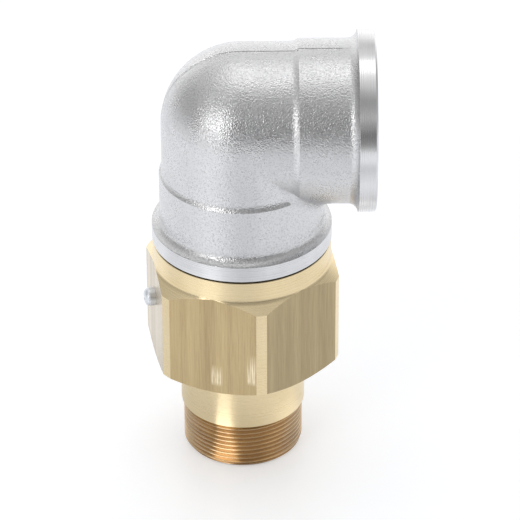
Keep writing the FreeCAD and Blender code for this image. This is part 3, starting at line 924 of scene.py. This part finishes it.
@dataclass
class Elbow:
    """Nickel-plated elbow: two socketed legs that meet in a round corner.

    Places along a leg are distances from the elbow's centre. The step is where the plain
    leg widens to the socket, and the ring is the turned one at the leg's end. The crotch
    is the fillet on the inner side. The seam's and the columns' widths are in degrees.
    """

    centre: float = 112.1
    radius: float = 23.5
    socket_radius: float = 24.3
    step_from: float = 14.2
    step_to: float = 16.7
    step_curve: float = 2.2
    step_rows: int = 12
    socket_rows: tuple[float, ...] = (28.5, 27.0, 25.0, 23.0, 21.0, 19.0, 17.5)
    plain_rows: tuple[float, ...] = (12.0, 9.0, 6.0, 3.0)
    ring_back: float = 33.9
    ring_radius: float = 26.8
    ring_fillet: float = 2.9
    ring_bevel: float = 0.12
    ring_rows: int = 12
    reach: float = 39.2
    ring_edge: float = 0.5
    crotch: float = 4.5
    crotch_curve: float = 1.3
    passage: float = 18.5
    passage_crotch: float = 1.2
    port_end: float = 20.2
    joint_bore: float = 21.0
    joint_end: float = 21.0
    joint_lead: float = 1.7
    seam_depth: float = 0.32
    seam_half: float = 0.8
    seam_foot: float = 0.7
    seam_lip: float = 0.3
    lip_width: float = 1.1
    seam_columns: tuple[float, ...] = (-1.9, -1.3, -0.8, 0.0, 0.8, 1.3, 1.9)
    side_margin: float = 4.0
    side_columns: int = 70
    arc_steps: int = 24
    port: Thread = Thread(19.476, 20.955, 21.4, 2.309, 19.0, 1.7, 0.1)

    def columns(self) -> list[float]:
        """Angles round a leg, from the inner side, closer together at the mould's seam.

        Returns:
            The angles, in radians.
        """
        angles = []
        side = 180.0 - 2 * self.side_margin
        for middle in (0.0, 180.0):
            angles += [middle + offset for offset in self.seam_columns]
            angles += [
                middle + self.side_margin + side * number / (self.side_columns - 1)
                for number in range(self.side_columns)
            ]
        return sorted(math.radians(angle % 360) for angle in angles)

    def outside_radius(self, along: float) -> float:
        """Radius of the plain leg, the cast step and the socket, short of the ring."""
        share = min(1.0, max(0.0, (along - self.step_from) / (self.step_to - self.step_from)))
        return self.radius + (self.socket_radius - self.radius) * share**self.step_curve

    def seam(self, angle: float) -> float:
        """Height of the mould's parting line, a thin groove between two low lips.

        Args:
            angle: The angle round the leg, in radians.

        Returns:
            The height over the casting, below 0 in the groove.
        """
        off = abs(math.degrees(math.remainder(angle, math.pi)))
        if off < self.seam_half:
            return self.seam_depth * (off / self.seam_foot - 1)
        fall = (off - self.seam_half) / self.lip_width
        return self.seam_depth * self.seam_lip * max(0.0, 1 - fall)

    def junction(self, angle: float, radius_at: Callable[[float], float], crotch: float) -> float:
        """Where a line along a leg starts to turn into the other leg.

        Args:
            angle: The line's angle round the leg, 0 on the inner side.
            radius_at: The leg's radius at a distance from the elbow's centre.
            crotch: Fillet radius on the inner side.

        Returns:
            The distance from the elbow's centre.
        """
        inner = math.cos(angle)
        if inner <= 0:
            return 0.0
        fillet = crotch * inner**self.crotch_curve
        low, high = 0.0, 60.0
        while high - low > 1e-6:
            middle = (low + high) / 2
            if middle - radius_at(middle) * inner < fillet:
                low = middle
            else:
                high = middle
        return high

    def point(self, leg: Leg, along: float, radius: float, angle: float) -> Vector:
        """A point on a leg.

        Args:
            leg: Which leg.
            along: Distance from the elbow's centre.
            radius: Distance from the leg's axis.
            angle: Angle round the leg, 0 on the inner side.

        Returns:
            The point, in millimetres.
        """
        inner, side = radius * math.cos(angle), radius * math.sin(angle)
        if leg is Leg.LOWER:
            return Vector((inner, side, self.centre - along))
        return Vector((along, side, self.centre - inner))

    def bend(
        self, angle: float, radius_at: Callable[[float], float], crotch: float, lift: float
    ) -> list[Vector]:
        """The quarter turn from the lower leg's line to the hose leg's line.

        Args:
            angle: The lines' angle round the legs.
            radius_at: The leg's radius at a distance from the elbow's centre.
            crotch: Fillet radius on the inner side.
            lift: Height over that radius.

        Returns:
            The points, in millimetres.
        """
        start = self.junction(angle, radius_at, crotch)
        radius = radius_at(start) + lift
        turn = start - radius * math.cos(angle)
        side = radius * math.sin(angle)
        points = []
        for part in range(self.arc_steps + 1):
            bent = math.pi / 2 * part / self.arc_steps
            out, up = turn * math.cos(bent), turn * math.sin(bent)
            points.append(Vector((start - out, side, self.centre - start + up)))
        return points

    def rim(self) -> list[tuple[float, float]]:
        """The ring at a leg's end, from its face back to the socket.

        Returns:
            The points of (radius, along).
        """
        ring = [
            (self.ring_radius - self.ring_edge, self.reach),
            (self.ring_radius, self.reach - self.ring_edge),
            (self.ring_radius, self.ring_back + self.ring_bevel),
        ]
        rise = self.ring_radius - self.ring_bevel - self.socket_radius
        slope = math.acos(1 - rise / self.ring_fillet)
        foot = self.ring_back - self.ring_fillet * math.sin(slope)
        for part in range(self.ring_rows, -1, -1):
            bent = slope * part / self.ring_rows
            radius = self.socket_radius + self.ring_fillet * (1 - math.cos(bent))
            ring.append((radius, foot + self.ring_fillet * math.sin(bent)))
        return ring

    def waist(self) -> list[float]:
        """Where the cast part of a leg has its rows, from the ring to the corner.

        Returns:
            The distances from the elbow's centre.
        """
        step = (self.step_to - self.step_from) / self.step_rows
        steps = [self.step_to - step * number for number in range(self.step_rows + 1)]
        return [*self.socket_rows, *steps, *self.plain_rows]

    def column(self, angle: float) -> tuple[list[Vector], list[float]]:
        """One closed line along the elbow: out, in through the port, and back.

        Args:
            angle: The line's angle round both legs.

        Returns:
            The points, and how far along its path the tool is at each. The feeds past
            the ring are there only to grow from row to row.
        """
        seam = self.seam(angle)
        start = self.junction(angle, self.outside_radius, self.crotch)
        held = [max(along, start) for along in self.waist()]
        outer = self.rim() + [(self.outside_radius(along) + seam, along) for along in held]
        fed = [self.reach - along + self.ring_radius - radius for radius, along in outer]
        bend = self.bend(angle, self.outside_radius, self.crotch, seam)
        inner = self.bend(angle, lambda along: self.passage, self.passage_crotch, 0.0)
        port = [
            (self.port.wall, self.reach),
            (self.port.wall, self.port_end),
            (self.passage, self.port_end),
        ]
        joint = [
            (self.passage, self.joint_end),
            (self.joint_bore, self.joint_end),
            (self.joint_bore, self.reach - self.joint_lead),
            (self.joint_bore + self.joint_lead, self.reach),
        ]

        points = [self.point(Leg.LOWER, along, radius, angle) for radius, along in outer]
        points += bend
        hose = [*reversed(outer), *port]
        points += [self.point(Leg.HOSE, along, radius, angle) for radius, along in hose]
        points += reversed(inner)
        points += [self.point(Leg.LOWER, along, radius, angle) for radius, along in joint]
        feeds = [*fed, *[40.0] * len(bend), *reversed(fed), 50.0, 69.0, 72.0]
        feeds += [*[75.0] * len(inner), 80.0, 83.0, 100.0, 103.0]
        return points, feeds

    def build(self) -> list[bpy.types.Object]:
        """Build the casting and the hose port's thread.

        Returns:
            The pieces.
        """
        lines = [self.column(angle) for angle in self.columns()]
        loops = [[line[0][row] for line in lines] for row in range(len(lines[0][0]))]
        feeds = lines[0][1]
        outer = len(self.rim()) + len(self.waist())
        bend = self.arc_steps + 1
        hose_end = 2 * outer + bend
        port_rows = range(hose_end - 3, hose_end + 2)
        joint = hose_end + 3 + bend
        joint_rows = (0, 1, *range(joint, joint + 4))

        def finish_of(row: int, place: int) -> int:
            """Cast all over but for the rings' faces and sides, and the joint's bore."""
            if row in port_rows:
                return 2
            return 1 if row in joint_rows else 0

        finishes = [CAST_NICKEL, TURNED_NICKEL, TURNED_NICKEL_PORT]
        elbow = closed_skin("elbow_casting", loops, feeds, finish_of, finishes)
        face = Matrix.Translation((self.reach * MM, 0.0, self.centre * MM))
        place = face @ Matrix.Rotation(-math.pi / 2, 4, "Y")
        thread = self.port.cut("elbow_port_thread", TURNED_NICKEL_PORT, place)
        for piece in (elbow, thread):
            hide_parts("elbow")
            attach(piece, "elbow_body")
        return [elbow, thread]


# Inner pieces


@dataclass(frozen=True)
class InnerPieces:
    """The pieces whose CAD shape is right, by the finish that each gets."""

    finishes: tuple[tuple[Finish, tuple[str, ...]], ...] = (
        (STAINLESS, ("spindle", "inner_spacer", "outer_spacer")),
        (SEAL_RUBBER, ("main_seal", "grease_seal", "dust_seal")),
        (PTFE, ("backup_ring",)),
        (SPRING_STEEL, ("casing_retaining_ring", "spindle_retaining_ring", "check_spring")),
        (BEARING_STEEL, ("lower_outer_ring", "lower_inner_ring", "lower_balls")),
        (BEARING_STEEL, ("upper_outer_ring", "upper_inner_ring", "upper_balls")),
        (BEARING_STEEL, ("check_ball",)),
        (NYLON, ("lower_cage", "upper_cage")),
        (ZINC_STEEL, ("grease_nipple",)),
    )

    def dress(self) -> None:
        """Give each piece its finish."""
        for finish, names in self.finishes:
            for name in names:
                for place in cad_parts[name].material_slots:
                    place.material = finish.material()
                log.info("%s: %s", name, finish.title)


# Studio

Stops = tuple[tuple[float, float], ...]


@dataclass
class Studio:
    """White floor, soft sky with a dim front, two soft boxes, and the camera.

    Behind, beside and before are the sky's light, as (degrees above the horizon, light).
    The other fields are in metres, and light is a share of white. In the floor, only
    what is mirrored or seen through sees the patches: each dim one has a middle, where
    its edge starts and ends, and its light. The beam is a narrow bright patch that the
    neck and the thread mirror: it lies beside the line through the middle that runs
    along beam_way, with stops along that line of (start, end, first, last).
    """

    floor_radius: float = 0.8
    floor_light: float = 0.42
    floor_paint: tuple[float, float, float, float] = (0.78, 0.8, 0.84, 1.0)
    dim_patches: tuple[tuple[tuple[float, float, float], float, float, float], ...] = (
        ((0.0, -0.2, 0.0), 0.03, 0.12, 0.05),
        ((-0.02, -0.01, 0.0), 0.03, 0.07, 0.1),
        ((0.085, -0.035, 0.0), 0.02, 0.08, 0.25),
        ((-0.105, 0.0, 0.0), 0.02, 0.05, 0.2),
    )
    beam_way: tuple[float, float, float] = (-0.64, -0.77, 0.0)
    beam_across: tuple[float, float, float] = (0.77, -0.64, 0.0)
    beam_aside: float = 0.007
    beam_half: tuple[float, float] = (0.006, 0.009)
    beam_light: float = 0.33
    beam_stops: tuple[tuple[float, float, float, float], ...] = (
        (0.018, 0.024, 0.0, 1.0),
        (0.03, 0.045, 7.5, 0.42),
        (0.065, 0.09, 1.0, 0.0),
    )
    spot_middle: tuple[float, float, float] = (0.026, -0.008, 0.0)
    spot_edge: tuple[float, float] = (0.01, 0.022)
    spot_light: float = 0.35
    behind: Stops = (
        (-90.0, 1.0), (-10.0, 1.2), (5.0, 1.3), (20.0, 1.17), (28.0, 0.92),
        (40.0, 0.72), (56.0, 0.84), (70.0, 1.26), (82.0, 1.35), (90.0, 1.3),
    )
    beside: Stops = (
        (-90.0, 1.0), (-12.0, 0.95), (-3.0, 0.75), (5.0, 0.45), (15.0, 0.4), (26.0, 0.48),
        (39.0, 0.6), (51.0, 0.66), (62.0, 0.79), (75.0, 1.0), (90.0, 1.3),
    )
    before: Stops = (
        (-90.0, 1.0), (-16.0, 0.95), (-9.0, 0.68), (2.0, 0.27), (12.0, 0.17),
        (23.0, 0.33), (33.0, 0.5), (43.0, 0.4), (54.0, 0.36), (64.0, 0.52),
        (75.0, 0.83), (84.0, 1.0), (90.0, 1.3),
    )
    lamp_aim: tuple[float, float, float] = (0.0, 0.0, 0.07)
    eye_aim: tuple[float, float, float] = (0.005364, 0.0, 0.063695)
    eye_distance: float = 1.19629
    eye_rise: float = 33.045
    eye_roll: float = -0.21
    eye_turn: float = -0.5
    eye_focus: float = 4000.0
    eye_frame: float = 520.0
    sensor: float = 36.0

    def make_sky(self) -> None:
        """A fixed soft sky: bright above and behind, dim beside and in front."""
        world = bpy.data.worlds.new("Studio")
        bpy.context.scene.world = world
        world.use_nodes = True
        tree = world.node_tree
        tree.nodes.clear()
        way = add_node(tree, "ShaderNodeTexCoord").node.outputs["Generated"]
        rise = add_node(tree, "ShaderNodeSeparateXYZ", {"Vector": way}).node.outputs["Z"]
        rise = add_node(tree, MATH, (rise,), operation="ARCSINE")
        rise = add_node(tree, RANGE, (rise, -math.pi / 2, math.pi / 2))
        tones = []
        for stops in (self.beside, self.behind, self.before):
            ramp = add_node(tree, "ShaderNodeValToRGB", {"Fac": rise})
            band = ramp.node.color_ramp
            band.interpolation = "EASE"
            while len(band.elements) > 1:
                band.elements.remove(band.elements[-1])
            for number, (degrees, light) in enumerate(stops):
                spot = (degrees + 90) / 180
                element = band.elements[0] if number == 0 else band.elements.new(spot)
                element.position = spot
                element.color = (light, light, light, 1.0)
            tones.append(ramp)
        level = way
        for operation, step in (("MULTIPLY", (1.0, 1.0, 0.0)), ("NORMALIZE", (0.0, 0.0, 0.0))):
            level = add_node(tree, VECTOR_MATH, (level, step), operation=operation)
        deep = add_node(tree, "ShaderNodeSeparateXYZ", {"Vector": level}).node.outputs["Y"]
        tone = tones[0]
        for other, start, end in ((tones[1], 0.45, 0.9), (tones[2], -0.35, -0.85)):
            share = add_node(tree, RANGE, (deep, start, end), interpolation_type="SMOOTHSTEP")
            tone = add_node(tree, MIX, {"Factor": share, "A": tone, "B": other}, data_type="RGBA")
        seen = add_node(tree, "ShaderNodeLightPath").node.outputs["Is Camera Ray"]
        shown = add_node(
            tree, MIX, {"Factor": seen, "A": tone, "B": (1.0, 1.0, 1.0, 1.0)}, data_type="RGBA"
        )
        glow = add_node(tree, "ShaderNodeBackground", {"Color": shown})
        add_node(tree, "ShaderNodeOutputWorld", {"Surface": glow})

    def mirrored(self, tree: Tree) -> Socket:
        """The floor's own light as the metal mirrors it: dim patches, beam and spot.

        Args:
            tree: The floor material's node tree.

        Returns:
            The light, as a share of white.
        """
        place = add_node(tree, "ShaderNodeTexCoord").node.outputs["Object"]
        light: Any = self.floor_light
        for middle, near, far, level in self.dim_patches:
            away = add_node(tree, VECTOR_MATH, (place, middle), operation="DISTANCE")
            away = add_node(tree, RANGE, (away, near, far, level, self.floor_light))
            light = add_node(tree, MATH, (light, away), operation="MINIMUM")
        beam, ahead = (
            add_node(tree, VECTOR_MATH, (place, way), operation="DOT_PRODUCT")
            for way in (self.beam_across, self.beam_way)
        )
        for operation, step in (("SUBTRACT", self.beam_aside), ("ABSOLUTE", 0.0)):
            beam = add_node(tree, MATH, (beam, step), operation=operation)
        spot = add_node(tree, VECTOR_MATH, (place, self.spot_middle), operation="DISTANCE")
        beam, spot = (
            add_node(tree, RANGE, (away, edge[0], edge[1], level, 0.0), interpolation_type=fade)
            for away, edge, level, fade in (
                (beam, self.beam_half, self.beam_light, "SMOOTHSTEP"),
                (spot, self.spot_edge, self.spot_light, "LINEAR"),
            )
        )
        for start, end, first, last in self.beam_stops:
            share = add_node(tree, RANGE, (ahead, start, end, first, last))
            beam = add_node(tree, MATH, (beam, share), operation="MULTIPLY")
        for patch in (beam, spot):
            light = add_node(tree, MATH, (light, patch), operation="ADD")
        return light

    def make_floor(self) -> None:
        """A round white floor that shows as white and keeps the object's shadow."""
        mesh = bpy.data.meshes.new("studio_floor")
        work = bmesh.new()
        bmesh.ops.create_circle(work, cap_ends=True, segments=96, radius=self.floor_radius)
        work.to_mesh(mesh)
        work.free()
        # Painted board: its own pale colour, lit up to white for the camera
        material = bpy.data.materials.new("Matt white board")
        material.use_nodes = True
        tree = material.node_tree
        tree.nodes.clear()
        paper = add_node(
            tree, "ShaderNodeBsdfPrincipled", {"Base Color": self.floor_paint, "Roughness": 0.3}
        )
        path = add_node(tree, "ShaderNodeLightPath").node.outputs
        thrown = path["Is Glossy Ray"]
        for operation, step in (
            ("MAXIMUM", path["Is Transmission Ray"]), ("MULTIPLY", self.mirrored(tree)),
        ):
            thrown = add_node(tree, MATH, (thrown, step), operation=operation)
        share = add_node(
            tree,
            MATH,
            (path["Is Camera Ray"], self.floor_light, thrown),
            operation="MULTIPLY_ADD",
        )
        glow = add_node(tree, "ShaderNodeEmission", {"Strength": share})
        both = add_node(tree, "ShaderNodeAddShader", (paper, glow))
        add_node(tree, "ShaderNodeOutputMaterial", {"Surface": both})
        mesh.materials.append(material)
        floor = bpy.data.objects.new("studio_floor", mesh)
        bpy.context.scene.collection.objects.link(floor)

    def make_soft_box(
        self,
        name: str,
        turn: float,
        rise: float,
        distance: float,
        size: tuple[float, float],
        light: float,
    ) -> None:
        """A soft box that faces the middle of the object.

        Args:
            name: The lamp's name.
            turn: Azimuth in degrees, 0 in front and growing to the right.
            rise: Elevation in degrees.
            distance: Metres from the object's middle.
            size: Width and height in metres.
            light: How bright it looks, 1 being white.
        """
        lamp = bpy.data.lights.new(name, "AREA")
        lamp.shape = "RECTANGLE"
        lamp.size, lamp.size_y = size
        lamp.energy = light * math.pi * size[0] * size[1]
        turned, risen = math.radians(turn), math.radians(rise)
        level = math.cos(risen)
        way = Vector((math.sin(turned) * level, -math.cos(turned) * level, math.sin(risen)))
        box = bpy.data.objects.new(name, lamp)
        box.location = Vector(self.lamp_aim) + way * distance
        box.rotation_mode = "QUATERNION"
        box.rotation_quaternion = way.to_track_quat("Z", "Y")
        bpy.context.scene.collection.objects.link(box)

    def make_camera(self) -> None:
        """The camera at the photograph's angle: a long lens, 33 degrees above the floor."""
        rise, roll = math.radians(self.eye_rise), math.radians(self.eye_roll)
        back = Vector((0.0, -math.cos(rise), math.sin(rise)))
        right = Vector((1.0, 0.0, 0.0))
        up = back.cross(right)
        across = right * math.cos(roll) + up * math.sin(roll)
        upward = up * math.cos(roll) - right * math.sin(roll)
        facing = Matrix((across, upward, back)).transposed().to_4x4()
        place = Matrix.Translation(Vector(self.eye_aim) + back * self.eye_distance)
        camera = bpy.data.cameras.new("camera")
        camera.sensor_width = self.sensor
        camera.lens = self.eye_focus / self.eye_frame * self.sensor
        camera.clip_start, camera.clip_end = 0.1, 10.0
        eye = bpy.data.objects.new("camera", camera)
        turned = Matrix.Rotation(math.radians(self.eye_turn), 4, "Z")
        eye.matrix_world = turned @ place @ facing
        bpy.context.scene.collection.objects.link(eye)
        bpy.context.scene.camera = eye

    def build(self) -> None:
        """Set up floor, sky, lamps and camera."""
        bpy.context.scene.view_settings.view_transform = "Standard"
        self.make_sky()
        self.make_floor()
        self.make_soft_box("overhead_box", 180.0, 79.0, 1.2, (0.6, 0.42), 0.5)
        self.make_soft_box("front_left_box", -39.0, 22.0, 1.1, (0.47, 0.65), 2.2)
        self.make_camera()


def main() -> None:
    """Build the swivel's pieces in order, dress them, and set up the studio."""
    logging.basicConfig(level=logging.INFO, format="%(name)s: %(message)s")
    for assembly in (Casing(), Elbow()):
        for piece in assembly.build():
            log.info("%s: %d faces", piece.name, len(piece.data.polygons))
    InnerPieces().dress()
    Studio().build()


if __name__ == "__main__":
    main()
